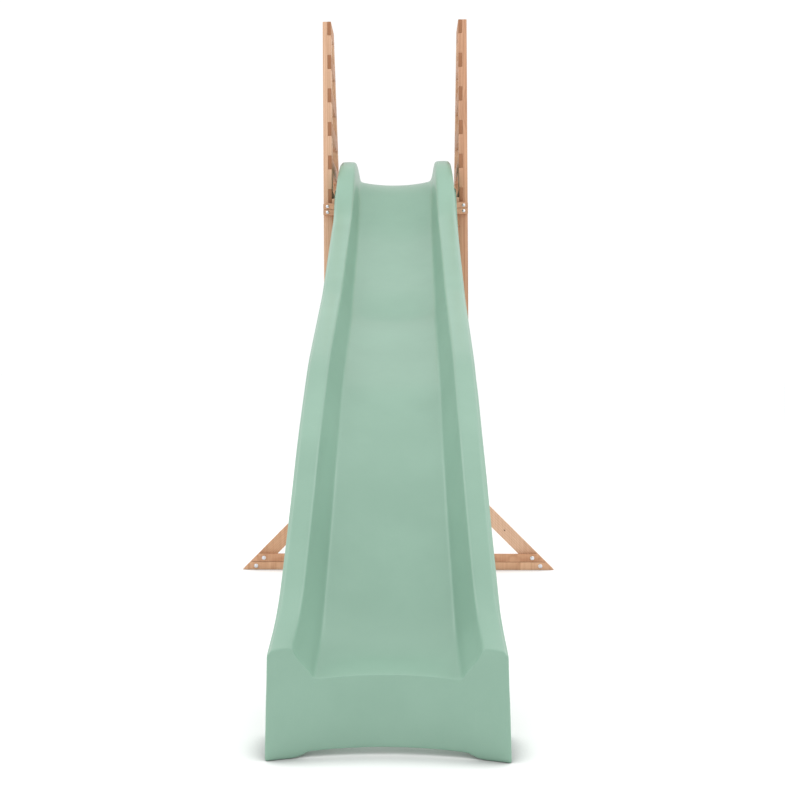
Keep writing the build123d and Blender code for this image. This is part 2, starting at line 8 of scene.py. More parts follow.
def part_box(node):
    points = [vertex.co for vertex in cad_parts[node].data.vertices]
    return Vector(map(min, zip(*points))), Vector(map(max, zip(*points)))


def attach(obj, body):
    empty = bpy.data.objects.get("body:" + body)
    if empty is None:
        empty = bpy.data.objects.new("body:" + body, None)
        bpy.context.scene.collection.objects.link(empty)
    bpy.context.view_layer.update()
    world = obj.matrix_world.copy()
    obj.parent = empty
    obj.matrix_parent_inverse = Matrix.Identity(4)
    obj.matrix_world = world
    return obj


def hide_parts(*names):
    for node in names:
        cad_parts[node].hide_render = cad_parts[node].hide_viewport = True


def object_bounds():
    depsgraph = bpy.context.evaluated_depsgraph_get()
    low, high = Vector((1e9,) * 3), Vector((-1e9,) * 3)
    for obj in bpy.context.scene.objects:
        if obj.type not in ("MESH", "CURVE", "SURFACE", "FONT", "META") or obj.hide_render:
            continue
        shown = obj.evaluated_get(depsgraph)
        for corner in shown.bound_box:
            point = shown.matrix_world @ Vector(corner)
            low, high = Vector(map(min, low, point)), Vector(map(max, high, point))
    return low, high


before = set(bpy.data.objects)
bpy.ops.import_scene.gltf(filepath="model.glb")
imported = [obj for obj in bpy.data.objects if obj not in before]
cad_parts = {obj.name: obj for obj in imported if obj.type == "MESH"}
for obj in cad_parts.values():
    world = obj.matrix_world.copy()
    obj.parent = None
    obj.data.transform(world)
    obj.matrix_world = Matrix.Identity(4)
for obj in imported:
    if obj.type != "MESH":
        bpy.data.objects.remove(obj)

CAD_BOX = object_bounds()
MM = 0.001


# ---------------------------------------------------------------- shader maths
class Value:
    """A socket that can be used in sums: each operator adds its Math node."""

    def __init__(self, finish, socket):
        self.finish = finish
        self.socket = socket

    def math(self, operation, first, second=None):
        values = [first] if second is None else [first, second]
        node = self.finish.node("ShaderNodeMath", {"operation": operation}, values)
        return Value(self.finish, node.outputs[0])

    def __add__(self, other):
        return self.math("ADD", self, other)

    def __radd__(self, other):
        return self.math("ADD", other, self)

    def __sub__(self, other):
        return self.math("SUBTRACT", self, other)

    def __rsub__(self, other):
        return self.math("SUBTRACT", other, self)

    def __mul__(self, other):
        return self.math("MULTIPLY", self, other)

    def __rmul__(self, other):
        return self.math("MULTIPLY", other, self)

    def __truediv__(self, other):
        return self.math("DIVIDE", self, other)

    def __pow__(self, other):
        return self.math("POWER", self, other)

    def sine(self):
        return self.math("SINE", self)

    def step(self, low, high):
        """A soft step from 0 at low to 1 at high."""
        settings = {"interpolation_type": "SMOOTHSTEP"}
        node = self.finish.node("ShaderNodeMapRange", settings, {
            "Value": self, "From Min": low, "From Max": high, "To Min": 0.0, "To Max": 1.0})
        return Value(self.finish, node.outputs[0])


class Finish:
    """One material and the short calls that build its nodes."""

    def __init__(self, name):
        self.material = bpy.data.materials.new(name)
        self.material.use_nodes = True
        self.tree = self.material.node_tree
        self.surface = self.tree.nodes["Principled BSDF"]
        self.place = self.node("ShaderNodeTexCoord").outputs["Object"]

    def node(self, kind, settings=None, values=None):
        """A node with its settings made first, then its sockets' values or links."""
        node = self.tree.nodes.new(kind)
        for name, setting in (settings or {}).items():
            setattr(node, name, setting)
        pairs = values.items() if isinstance(values, dict) else enumerate(values or [])
        for name, value in pairs:
            self.feed(node.inputs[name], value)
        return node

    def feed(self, socket, value):
        if isinstance(value, Value):
            value = value.socket
        if isinstance(value, bpy.types.NodeSocket):
            self.tree.links.new(value, socket)
        else:
            socket.default_value = value

    def along(self, grain, stretch, origin=(0, 0, 0)):
        """Object coordinates turned so that the grain is Z, then scaled."""
        shift = self.node("ShaderNodeVectorMath", {"operation": "SUBTRACT"}, [self.place, origin])
        turn = Vector(grain).rotation_difference(Vector((0, 0, 1))).to_euler()
        node = self.node("ShaderNodeMapping", {"vector_type": "POINT"}, {
            "Vector": shift.outputs[0], "Rotation": turn, "Scale": stretch})
        return node.outputs[0]

    def noise(self, vector, scale, detail=3.0, roughness=0.5):
        node = self.node("ShaderNodeTexNoise", {}, {
            "Vector": vector, "Scale": scale, "Detail": detail, "Roughness": roughness})
        return Value(self, node.outputs["Fac"])

    def blend(self, share, first, second):
        """A colour between two others."""
        node = self.node("ShaderNodeMix", {"data_type": "RGBA"})
        self.feed(node.inputs["Factor"], share)
        self.feed(node.inputs[6], first)
        self.feed(node.inputs[7], second)
        return node.outputs[2]

    def bump(self, height, depth, strength=1.0):
        node = self.node("ShaderNodeBump", {}, {
            "Height": height, "Distance": depth, "Strength": strength})
        self.feed(self.surface.inputs["Normal"], node.outputs[0])

    def set(self, **values):
        for name, value in values.items():
            self.feed(self.surface.inputs[name.replace("_", " ")], value)


def tint(red, green, blue):
    """A colour given as it looks on a screen, 0 to 255."""
    def linear(level):
        level = level / 255
        return level / 12.92 if level <= 0.04045 else ((level + 0.055) / 1.055) ** 2.4
    return (linear(red), linear(green), linear(blue), 1.0)


def darker(colour, shares):
    """A colour with each channel brought down to its own share."""
    return tuple(channel * share for channel, share in zip(colour, shares)) + (1.0,)


# ---------------------------------------------------------------- finishes
def moulded_plastic():
    """Sage-green polyethylene: satin gloss, faint flow mottling, fine wear on the bed."""
    finish = Finish("moulded_plastic")
    cloud = finish.noise(finish.place, 5.0, 4.0, 0.55)
    speckle = finish.noise(finish.place, 260.0, 2.0, 0.6)
    run = finish.noise(finish.along((0, 1, 0.45), (70.0, 70.0, 1.6)), 1.0, 4.0, 0.6)
    scuff = run.step(0.60, 0.80) * cloud.step(0.45, 0.65)
    fresh = finish.blend(cloud.step(0.3, 0.7), tint(130, 165, 146), tint(135, 170, 151))
    worn = finish.blend(scuff * 0.35, fresh, tint(148, 182, 163))
    finish.set(Base_Color=finish.blend(speckle.step(0.4, 0.75) * 0.10, worn, tint(122, 158, 138)),
               Roughness=0.33 + scuff * 0.16 + cloud * 0.05,
               Coat_Weight=0.12)
    finish.surface.inputs["Coat Roughness"].default_value = 0.18
    finish.surface.inputs["IOR"].default_value = 1.5
    finish.bump(speckle * 0.6 + finish.noise(finish.place, 38.0, 2.0) * 0.9, 0.0004, 0.35)
    return finish.material


def softwood(name, grain, pale, deep, seed):
    """Planed fir: growth rings about a pith line, fine fibres, a few knots, darker cut ends."""
    finish = Finish(name)
    shift = (0.137 * seed % 1.0, 0.291 * seed % 1.0, 0.713 * seed % 1.0)
    slow = finish.noise(finish.along(grain, (9.0, 9.0, 0.9), shift), 1.0, 3.0, 0.5)
    fibre = finish.noise(finish.along(grain, (620.0, 620.0, 7.0), shift), 1.0, 4.0, 0.65)
    streak = finish.noise(finish.along(grain, (120.0, 120.0, 1.4), shift), 1.0, 3.0, 0.6)
    cells = finish.node("ShaderNodeTexVoronoi", {"feature": "SMOOTH_F1"}, {
        "Vector": finish.along(grain, (5.2, 5.2, 2.3), shift), "Scale": 1.0, "Smoothness": 0.15})
    spot = Value(finish, cells.outputs["Distance"])
    knot = 1 - spot.step(0.055, 0.10)
    near_knot = 1 - spot.step(0.06, 0.26)
    pith = (0.05 + 0.03 * (seed % 3), -0.09 + 0.025 * (seed % 4), 0.0)
    flat = finish.node("ShaderNodeVectorMath", {"operation": "MULTIPLY"}, [
        finish.along(grain, (1.0, 1.0, 1.0), pith), (1.0, 1.0, 0.0)])
    away = finish.node("ShaderNodeVectorMath", {"operation": "LENGTH"}, [flat.outputs[0]])
    radius = Value(finish, away.outputs["Value"])
    turns = radius * 1250.0 + slow * 21.0 + near_knot * 8.0
    ring = (turns.sine() * 0.5 + 0.5) ** 2.2
    tone = ring * 0.34 + streak.step(0.35, 0.75) * 0.34 + fibre.step(0.35, 0.8) * 0.26
    wood = finish.blend(tone, pale, deep)
    warm = darker(deep, (0.86, 0.72, 0.55))
    toned = finish.blend(slow.step(0.42, 0.72) * 0.28, wood, warm)
    dark = darker(deep, (0.42, 0.30, 0.22))
    facing = finish.node("ShaderNodeVectorMath", {"operation": "DOT_PRODUCT"}, [
        finish.node("ShaderNodeNewGeometry").outputs["Normal"],
        Vector(grain).normalized()])
    end = (Value(finish, facing.outputs["Value"]) ** 2.0).step(0.35, 0.75)
    cut = finish.blend(end * 0.75, toned, warm)
    finish.set(Base_Color=finish.blend(knot * 0.8 + near_knot * 0.12, cut, dark),
               Roughness=0.50 + fibre * 0.22 - ring * 0.08)
    finish.surface.inputs["Specular IOR Level"].default_value = 0.35
    finish.bump(fibre * 0.7 + ring * 0.5 - knot * 0.6, 0.0006, 0.45)
    return finish.material


def zinc(name, bright, dull, roughness):
    """Zinc-plated steel with a faint blotchy passivation and a fine grain."""
    finish = Finish(name)
    blotch = finish.noise(finish.place, 210.0, 3.0, 0.6)
    grain = finish.noise(finish.place, 1500.0, 2.0, 0.5)
    finish.set(Base_Color=finish.blend(blotch.step(0.3, 0.7), bright, dull),
               Roughness=roughness + blotch * 0.16 + grain * 0.05, Metallic=1.0)
    finish.bump(grain, 0.0001, 0.25)
    return finish.material


def studio_floor():
    """Matt white, with a painted contact shadow: darker where the part stands close over it."""
    finish = Finish("studio_floor")
    cloud = finish.noise(finish.place, 1.3, 2.0)
    # painted contact shadow: ambient occlusion turns the floor grey under and beside the part
    shadow_occlusion = finish.node("ShaderNodeAmbientOcclusion", {"samples": 12}, {"Distance": 0.10})
    unshadowed_share = Value(finish, shadow_occlusion.outputs["AO"]).step(0.20, 0.95)
    pale = finish.blend(cloud, tint(254, 254, 254), tint(255, 255, 255))
    painted_shadow_grey = tint(128, 128, 128)
    finish.set(Base_Color=finish.blend(unshadowed_share, painted_shadow_grey, pale), Roughness=0.9)
    return finish.material


# ---------------------------------------------------------------- mesh helpers
def piece(name, mesh_data, material, nodes, smooth=0):
    """An object that stands for some CAD nodes, smooth where faces meet at less than an angle."""
    mesh = bpy.data.meshes.new(name)
    mesh_data.normal_update()
    mesh_data.to_mesh(mesh)
    mesh_data.free()
    obj = bpy.data.objects.new(name, mesh)
    bpy.context.scene.collection.objects.link(obj)
    obj.data.materials.append(material)
    if smooth:
        for polygon in mesh.polygons:
            polygon.use_smooth = True
        mesh.set_sharp_from_angle(angle=math.radians(smooth))
    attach(obj, "root")
    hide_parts(*nodes)
    return obj


def apply_modifiers(obj):
    """Bakes an object's modifiers into its mesh."""
    graph = bpy.context.evaluated_depsgraph_get()
    mesh = bpy.data.meshes.new_from_object(obj.evaluated_get(graph))
    obj.modifiers.clear()
    obj.data = mesh


def rounded(obj, width):
    """Eases every edge, as a planer and sandpaper do."""
    bevel = obj.modifiers.new("ease", "BEVEL")
    bevel.width = width
    bevel.segments = 2
    bevel.limit_method = "ANGLE"
    bevel.angle_limit = math.radians(30)
    bevel.harden_normals = False
    apply_modifiers(obj)
    for polygon in obj.data.polygons:
        polygon.use_smooth = True
    obj.data.set_sharp_from_angle(angle=math.radians(28))


def prism(outline, place, depth):
    """A closed solid: a flat outline placed in space, then carried along a vector."""
    mesh = bmesh.new()
    near = [mesh.verts.new(place(*point)) for point in outline]
    far = [mesh.verts.new(Vector(place(*point)) + Vector(depth)) for point in outline]
    mesh.faces.new(near)
    mesh.faces.new(list(reversed(far)))
    for index in range(len(outline)):
        after = (index + 1) % len(outline)
        mesh.faces.new([near[after], near[index], far[index], far[after]])
    bmesh.ops.recalc_face_normals(mesh, faces=mesh.faces)
    return mesh


def add_spun(mesh, profile, start, direction, steps=28):
    """Adds a turned solid: (radius, distance) points about a line from start along direction."""
    turn = Vector((0, 0, 1)).rotation_difference(Vector(direction)).to_matrix().to_4x4()
    place = Matrix.Translation(Vector(start)) @ turn
    rings = []
    for radius, distance in profile:
        if radius == 0:
            rings.append([mesh.verts.new(place @ Vector((0, 0, distance)))])
            continue
        angles = [2 * math.pi * step / steps for step in range(steps)]
        rings.append([mesh.verts.new(place @ Vector((
            radius * math.cos(a), radius * math.sin(a), distance))) for a in angles])
    for low, high in zip(rings, rings[1:]):
        for step in range(steps):
            after = (step + 1) % steps
            corners = [low[step % len(low)], low[after % len(low)],
                       high[after % len(high)], high[step % len(high)]]
            mesh.faces.new(list(dict.fromkeys(corners)))


def islands(node):
    """Each loose piece of a CAD node's mesh, as its list of points."""
    mesh = bmesh.new()
    mesh.from_mesh(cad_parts[node].data)
    bmesh.ops.remove_doubles(mesh, verts=mesh.verts, dist=1e-6)
    seen, groups = set(), []
    for vert in mesh.verts:
        if vert in seen:
            continue
        group, queue = [], [vert]
        seen.add(vert)
        while queue:
            current = queue.pop()
            group.append(current.co.copy())
            for edge in current.link_edges:
                other = edge.other_vert(current)
                if other not in seen:
                    seen.add(other)
                    queue.append(other)
        groups.append(group)
    mesh.free()
    return groups


def fastener_places(node):
    """(head point, direction of the shank, length) of each screw or bolt in a CAD node."""
    places = []
    for points in islands(node):
        low = Vector([min(p[k] for p in points) for k in range(3)])
        high = Vector([max(p[k] for p in points) for k in range(3)])
        middle, size = (low + high) / 2, high - low
        axis = max(range(3), key=lambda k: size[k])

        def spread(end):
            near = [p for p in points if abs(p[axis] - end) < 0.12 * size[axis]]
            return max((p - middle).length_squared - (p[axis] - middle[axis]) ** 2 for p in near)

        head_high = spread(high[axis]) > spread(low[axis])
        head = middle.copy()
        head[axis] = high[axis] if head_high else low[axis]
        shank = Vector((0, 0, 0))
        shank[axis] = -1.0 if head_high else 1.0
        places.append((head, shank, size[axis]))
    return places


# ---------------------------------------------------------------- sizes taken from the frame
POST_LOW, POST_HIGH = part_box("front_post_left")
FRONT = POST_LOW[1]                       # front face of the posts
OUTER, INNER = -POST_LOW[0], -POST_HIGH[0]
TOP = POST_HIGH[2]
LEG_LOW, LEG_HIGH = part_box("rear_leg_left")
BOARD_LOW, BOARD_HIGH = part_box("guard_board_left_1")
NOTCH = BOARD_HIGH[0] - BOARD_LOW[0]
DECK_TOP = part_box("deck_board_1")[1][2]
CHUTE_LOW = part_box("slide_body")[0]


def count_of(prefix):
    """How many CAD nodes have names that start with these words."""
    return sum(name.startswith(prefix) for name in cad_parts)


BOARD_COUNT = count_of("guard_board_left")
DECK_COUNT = count_of("deck_board")
TREAD_COUNT = count_of("ladder_tread")
SIDES = {"left": -1, "right": 1}

# ---------------------------------------------------------------- chute sizes
# Side profile: corners as (forward of the posts is negative, height) and their rounding radii.
PATH = [(0.300, 1.0), (0.032, 1.0), (-0.155, 0.8480), (-0.885, 0.5941), (-1.458, 0.4434),
        (-1.772, 0.3208), (-2.147, 0.0462), (-2.375, 0.0)]
RADII = [0.350, 0.700, 0.600, 0.800, 0.700, 0.500]
ENTRY_HEIGHT = DECK_TOP + 0.089
EXIT_HEIGHT = 0.141
PROFILE = [(y, EXIT_HEIGHT + share * (ENTRY_HEIGHT - EXIT_HEIGHT)) for y, share in PATH]
HALF_WIDTH = INNER - 0.0125
FLARE = 0.024
FLARE_LENGTH = 0.700
LIP_LENGTH = 0.320                        # stretch over which the bed flattens to the exit
LIP_SHARE = 0.75                          # of that stretch, where it is flat already
LIP_LIFT = 0.011
LIP_DISH = 0.011                          # sag halfway along the lip's stretch
LIP_CROWN = 0.002                         # the exit edge stands this much higher in the middle
ENTRY_TUCK = 0.009                        # the rails narrow by this towards the platform
RAIL_RISE = 0.085
RAIL_INSIDE = (0.086, 0.068)
WALL_FOOT = (0.100, 0.106)
FLANGE = -0.014
BED_SAG = 0.016
BED_WAVES = ((-0.70, 0.005, 0.09), (-0.90, -0.007, 0.07))   # (y, height, half length) of each
WALL = 0.006
EXIT = CHUTE_LOW[1] - FRONT
FRONT_BOW = 0.050
FOOT_LENGTH = 0.190
FOOT_PAD = 0.062
FOOT_PAD_END = 0.034                      # length of the slope from a pad up to the arch
FOOT_STEP = 0.012
FOOT_ARCH = 0.005
FOOT_ARCH_SHARE = 0.7                     # of the foot's half width
FOOT_SPLAY = 1.012                        # the foot is this much wider at the ground
FOOT_LEVELS = (0.22, 0.45, 0.68, 0.88, 1.0)
ENTRY_LEVELS = (0.4, 0.8, 1.0)
ENTRY_START = 0.040
ENTRY_ROWS = 6
FOOT_ROWS = 5
EDGE = 0.013                              # reach of the rounding at the front and back edges
EDGE_DROP = 0.6                           # share of the bed's slope that the front edge keeps
NEAR_EXIT = 0.030                         # where along the profile the exit's width is read
ROW_PITCH = 0.034
ARC_STEPS = 16


def rounded_line(corners, radii):
    """The corners' line with each inner corner replaced by its tangent arc."""
    points = [Vector(corners[0])]
    for index, radius in enumerate(radii, start=1):
        before, corner, after = (Vector(corners[index + k]) for k in (-1, 0, 1))
        to_before, to_after = (before - corner).normalized(), (after - corner).normalized()
        half = to_before.angle(to_after) / 2
        reach = min(radius / math.tan(half), 0.48 * (before - corner).length,
                    0.48 * (after - corner).length)
        radius = reach * math.tan(half)
        middle = corner + (to_before + to_after).normalized() * (radius / math.sin(half))
        first = corner + to_before * reach - middle
        last = corner + to_after * reach - middle
        turn = math.atan2(first.x * last.y - first.y * last.x, first.dot(last))
        points += [middle + Matrix.Rotation(turn * step / ARC_STEPS, 2) @ first
                   for step in range(ARC_STEPS + 1)]
    points.append(Vector(corners[-1]))
    return points


LINE = rounded_line(PROFILE, RADII)
LENGTHS = [0.0]
for one, two in zip(LINE, LINE[1:]):
    LENGTHS.append(LENGTHS[-1] + (two - one).length)


def on_line(distance):
    """(place, tangent) at a distance along the chute's profile."""
    distance = max(0.0, min(LENGTHS[-1], distance))

    def spot(at):
        index = max(k for k in range(len(LINE) - 1) if LENGTHS[k] <= at + 1e-12)
        share = (at - LENGTHS[index]) / (LENGTHS[index + 1] - LENGTHS[index])
        return LINE[index].lerp(LINE[index + 1], share)

    reach = 0.012
    ahead = spot(min(distance + reach, LENGTHS[-1]))
    behind = spot(max(distance - reach, 0.0))
    return spot(distance), (ahead - behind).normalized()


def ease(share):
    """A soft step: 0 up to 0, 1 from 1 on."""
    share = max(0.0, min(1.0, share))
    return share * share * (3 - 2 * share)


def half_section(y):
    """Chute section from the flange tip in to the centre line: (x, height over the profile)."""
    to_exit = y - PROFILE[-1][0]
    lip = ease((1 - to_exit / LIP_LENGTH) / LIP_SHARE)
    edge = HALF_WIDTH + FLARE * ease(1 - to_exit / FLARE_LENGTH)
    bed = LIP_LIFT * lip
    along = max(0.0, min(1.0, y / EXIT))
    tuck = ENTRY_TUCK * ease((y + 0.10) / 0.16)
    inside = edge - RAIL_INSIDE[0] - (RAIL_INSIDE[1] - RAIL_INSIDE[0]) * along
    foot = edge - WALL_FOOT[0] - (WALL_FOOT[1] - WALL_FOOT[0]) * along
    wave = sum(height * math.exp(-((y - place) / reach) ** 2)
               for place, height, reach in BED_WAVES)
    sag = BED_SAG * (1 - lip) + LIP_DISH * math.sin(math.pi * lip) - LIP_CROWN * lip
    outside = edge - tuck
    flat = (outside - 0.0260 + inside + 0.0130) / 2
    return [
        # flange and outer wall
        (edge, FLANGE),
        (edge - 0.0045, FLANGE),
        (edge - 0.0090, FLANGE),
        (edge - 0.0097, FLANGE + 0.012),
        (edge - 0.0103 - tuck * 0.4, 0.030),
        # ledge line and rail top
        (outside - 0.0108, RAIL_RISE - 0.014),
        (outside - 0.0116, RAIL_RISE - 0.0085),
        (outside - 0.0162, RAIL_RISE - 0.0075),
        (outside - 0.0182, RAIL_RISE - 0.0010),
        (outside - 0.0270, RAIL_RISE + 0.001),
        (flat, RAIL_RISE + 0.0015),
        (inside + 0.0130, RAIL_RISE + 0.001),
        (inside + 0.0010, RAIL_RISE - 0.002),
        # inner wall and bed
        (inside - 0.0030, RAIL_RISE - 0.017),
        ((inside + foot) / 2 - 0.001, (RAIL_RISE + bed) / 2 - 0.004),
        (foot + 0.0015, bed + 0.016),
        (foot - 0.0050, bed + 0.001),
        (foot - 0.0185, bed - sag * 0.16 + wave * 0.2),
        (foot * 0.66, bed - sag * 0.56 + wave * 0.75),
        (foot * 0.33, bed - sag * 0.90 + wave),
        (0.0, bed - sag + wave),
    ]


ROOT = 2                                  # where the flange meets the outer wall
SHOULDER = 8                              # outer top corner of the rail
HALF_COUNT = len(half_section(0.0))
COLUMNS = 2 * HALF_COUNT - 1


def skin_point(distance, column):
    """A point of the chute's upper skin."""
    spot, tangent = on_line(distance)
    section = half_section(spot.x)
    side = -1 if column < HALF_COUNT else 1
    x, rise = section[min(column, COLUMNS - 1 - column)]
    return Vector((side * x, spot.x + rise * tangent.y, spot.y - rise * tangent.x))


def front_of(x):
    """Forward face of the foot at a distance x from the middle: a shallow inward bow."""
    half = half_section(EXIT)[ROOT][0]
    return EXIT + FRONT_BOW * (1 - (x / half) ** 2)


def distance_at(column, y, guess):
    """Distance along the profile at which a column of the skin reaches y."""
    for _ in range(30):
        guess += skin_point(guess, column).y - y
    return guess


def drop(top, ground, levels):
    """Points from a top point down to a ground point at some shares of the way."""
    return [top.lerp(ground, share) for share in levels]


def skin_rows():
    """Rows of the upper skin from the back edge to the front, and where the middle ones lie."""
    back_y = PROFILE[0][0]
    start, finish = 0.0, LENGTHS[-1]
    back = [distance_at(column, back_y - EDGE, start) for column in range(COLUMNS)]
    foot_row = distance_at(HALF_COUNT - 1, EXIT + FOOT_LENGTH, finish - FOOT_LENGTH)
    entry_row = distance_at(HALF_COUNT - 1, ENTRY_START, back_y - ENTRY_START)
    middle_count = round((foot_row - entry_row) / ROW_PITCH)
    rows = []
    for k in range(ENTRY_ROWS):
        rows.append([skin_point(back[c] + (entry_row - back[c]) * k / ENTRY_ROWS, c)
                     for c in range(COLUMNS)])
    for k in range(middle_count + 1):
        at = entry_row + (foot_row - entry_row) * k / middle_count
        rows.append([skin_point(at, c) for c in range(COLUMNS)])
    ends = []
    for column in range(COLUMNS):
        x = skin_point(finish - NEAR_EXIT, column).x
        ends.append(distance_at(column, front_of(x) + EDGE, finish - NEAR_EXIT))
    for k in range(1, FOOT_ROWS + 1):
        rows.append([skin_point(foot_row + (ends[c] - foot_row) * k / FOOT_ROWS, c)
                     for c in range(COLUMNS)])
    back_edge = [Vector((p.x, back_y, p.z)) for p in rows[0]]
    front_edge = []
    for column, point in enumerate(rows[-1]):
        fall = skin_point(ends[column] + EDGE, column).z - point.z
        front_edge.append(Vector((point.x, front_of(point.x), point.z + fall * EDGE_DROP)))
    entry_end = 1 + ENTRY_ROWS
    return [back_edge] + rows + [front_edge], entry_end, entry_end + middle_count


def chute_patches():
    """The chute's single skin as grids of points that share their borders."""
    rows, entry_end, foot_start = skin_rows()
    main = [row[ROOT:COLUMNS - ROOT] for row in rows]
    patches = [main]
    for side in (0, 1):
        def column(row, index):
            return row[index] if side == 0 else row[COLUMNS - 1 - index]
        patches.append([[column(row, k) for k in range(ROOT + 1)]
                        for row in rows[entry_end:foot_start + 1]])
        foot_walls = []
        for row in rows[foot_start:]:
            root = column(row, ROOT)
            ground = Vector((root.x * FOOT_SPLAY, root.y, 0.0))
            foot_walls.append([root] + drop(root, ground, FOOT_LEVELS))
        patches.append(foot_walls)
        entry_walls = []
        for row in rows[:entry_end + 1]:
            root = column(row, ROOT)
            deck = Vector((root.x, root.y, DECK_TOP))
            entry_walls.append([root] + drop(root, deck, ENTRY_LEVELS))
        patches.append(entry_walls)
    patches.append(end_face(rows[-1], patches[2][-1], patches[5][-1], ground_height, front_of))
    back_y = rows[0][0].y
    patches.append(end_face(rows[0], patches[3][0], patches[6][0],
                            lambda x: DECK_TOP, lambda x: back_y))
    return patches


def ground_height(x):
    """Underside of the foot's front: two pads with a shallow arch between them."""
    half = half_section(EXIT)[ROOT][0]
    inside = half - FOOT_PAD - abs(x)
    arch = max(0.0, 1 - (x / (half * FOOT_ARCH_SHARE)) ** 2)
    return FOOT_STEP * ease(inside / FOOT_PAD_END) + FOOT_ARCH * arch


def end_face(edge, left_wall, right_wall, bottom, forward):
    """The upright face below an edge row, between the two side walls' end columns."""
    left = [edge[k] for k in range(SHOULDER, ROOT, -1)] + left_wall
    right = [edge[COLUMNS - 1 - k] for k in range(SHOULDER, ROOT, -1)] + right_wall
    top_z, low_z = left[0].z, left[-1].z
    wide = left[-1].x / left[0].x
    face = []
    for level, (first, second) in enumerate(zip(left, right)):
        share = (top_z - first.z) / (top_z - low_z)
        row = [first]
        for column in range(SHOULDER + 1, COLUMNS - 1 - SHOULDER):
            top = edge[column]
            x = top.x * (1 + (wide - 1) * share)
            point = Vector((x, forward(x), top.z + (bottom(x) - top.z) * share))
            row.append(top.copy() if level == 0 else point)
        face.append(row + [second])
    return face


def chute():
    """The moulded shell: its skin given a wall's thickness, then smoothed."""
    mesh = bmesh.new()
    for patch in chute_patches():
        grid = [[mesh.verts.new(point + Vector((0, FRONT, 0))) for point in row] for row in patch]
        for low, high in zip(grid, grid[1:]):
            for k in range(len(low) - 1):
                mesh.faces.new([low[k], low[k + 1], high[k + 1], high[k]])
    bmesh.ops.remove_doubles(mesh, verts=mesh.verts, dist=1e-5)
    bmesh.ops.recalc_face_normals(mesh, faces=mesh.faces)
    mid_bed = Vector((0, FRONT - 1.0, 1.0))
    middle = min(mesh.faces, key=lambda face: (face.calc_center_median() - mid_bed).length)
    if middle.normal.z < 0:
        bmesh.ops.reverse_faces(mesh, faces=mesh.faces)
    obj = piece("chute", mesh, moulded_plastic(), ["slide_body"])
    wall = obj.modifiers.new("wall", "SOLIDIFY")
    wall.thickness = WALL
    wall.offset = -1.0
    wall.use_even_offset = False
    soft = obj.modifiers.new("soft", "SUBSURF")
    soft.levels = soft.render_levels = 2
    apply_modifiers(obj)
    for polygon in obj.data.polygons:
        polygon.use_smooth = True
    return obj


# ---------------------------------------------------------------- timber
LEG_ANGLE = math.radians(29.5)
LEG_DEPTH = 0.070
LEG_ACROSS = LEG_DEPTH / math.cos(LEG_ANGLE)
GRAIN_UP = (0, 0, 1)
GRAIN_ACROSS = (1, 0, 0)
GRAIN_BACK = (0, 1, 0)
GRAIN_LEG = (0, -math.sin(LEG_ANGLE), math.cos(LEG_ANGLE))
BRACE_WIDTH = 0.057
ANCHOR_HEIGHT = 0.160                     # of the small holes through the braces
ANCHOR_RADIUS = 0.003
POST_EASE = 0.0022                        # rounding of each timber's edges
BOARD_EASE = 0.0014
PLANED_EASE = 0.0016
LATH_EASE = 0.0012
TREAD_EASE = 0.003


def lean(z):
    """Front face of the sloping legs at a height."""
    run = LEG_HIGH[1] - LEG_ACROSS - LEG_LOW[1]
    return LEG_HIGH[1] - LEG_ACROSS - run * z / LEG_HIGH[2]


def notched(side):
    """Outline (x, z) of a side timber with a rebate on its inner face for each guard board."""
    points = [(OUTER, 0.0), (INNER, 0.0)]
    for number in range(BOARD_COUNT, 0, -1):
        low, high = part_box(f"guard_board_left_{number}")
        points += [(INNER, low[2]), (INNER + NOTCH, low[2]), (INNER + NOTCH, high[2])]
        if high[2] < TOP - MM:
            points.append((INNER, high[2]))
    points.append((OUTER, TOP))
    return [(side * x, z) for x, z in points]


def fir(name, grain, seed, pale=(212, 174, 142), deep=(176, 128, 94)):
    return softwood("fir_" + name, grain, tint(*pale), tint(*deep), seed)


def timber_box(name, grain, seed, slot, ease_by=PLANED_EASE, **colours):
    """A straight board or bar that fills its CAD node's box."""
    low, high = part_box(name)
    outline = [(low[0], low[2]), (high[0], low[2]), (high[0], high[2]), (low[0], high[2])]
    mesh = prism(outline, lambda x, z: (x, low[1], z), (0, high[1] - low[1], 0))
    obj = piece(name + "_wood", mesh, fir(name, grain, seed, **colours), [name])
    rounded(obj, ease_by)
    return obj


def posts_and_legs():
    for name, side in SIDES.items():
        seed = 3 if side < 0 else 8
        pale, deep = ((216, 178, 148), (178, 132, 100)) if side < 0 else (
            (204, 158, 126), (160, 110, 80))
        outline = notched(side)
        post = prism(outline, lambda x, z: (x, FRONT, z), (0, POST_HIGH[1] - FRONT, 0))
        rounded(piece(f"post_{name}", post, fir("post_" + name, GRAIN_UP, seed, pale, deep),
                      [f"front_post_{name}"]), POST_EASE)
        leg = prism(outline, lambda x, z: (x, lean(z), z), (0, LEG_ACROSS, 0))
        rounded(piece(f"leg_{name}", leg, fir("leg_" + name, GRAIN_LEG, seed + 1),
                      [f"rear_leg_{name}"]), POST_EASE)


def guard_boards():
    for name, side in SIDES.items():
        for number in range(1, BOARD_COUNT + 1):
            node = f"guard_board_{name}_{number}"
            low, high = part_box(node)
            ends = [(low[1], low[2]), (low[1], high[2]),
                    (lean(high[2]) + LEG_ACROSS, high[2]), (lean(low[2]) + LEG_ACROSS, low[2])]
            mesh = prism(ends, lambda y, z: (low[0], y, z), (high[0] - low[0], 0, 0))
            seed = number * 3 + (side > 0) * 2
            material = fir(node, GRAIN_BACK, seed, (196, 152, 120), (156, 110, 80))
            rounded(piece(node + "_wood", mesh, material, [node]), BOARD_EASE)


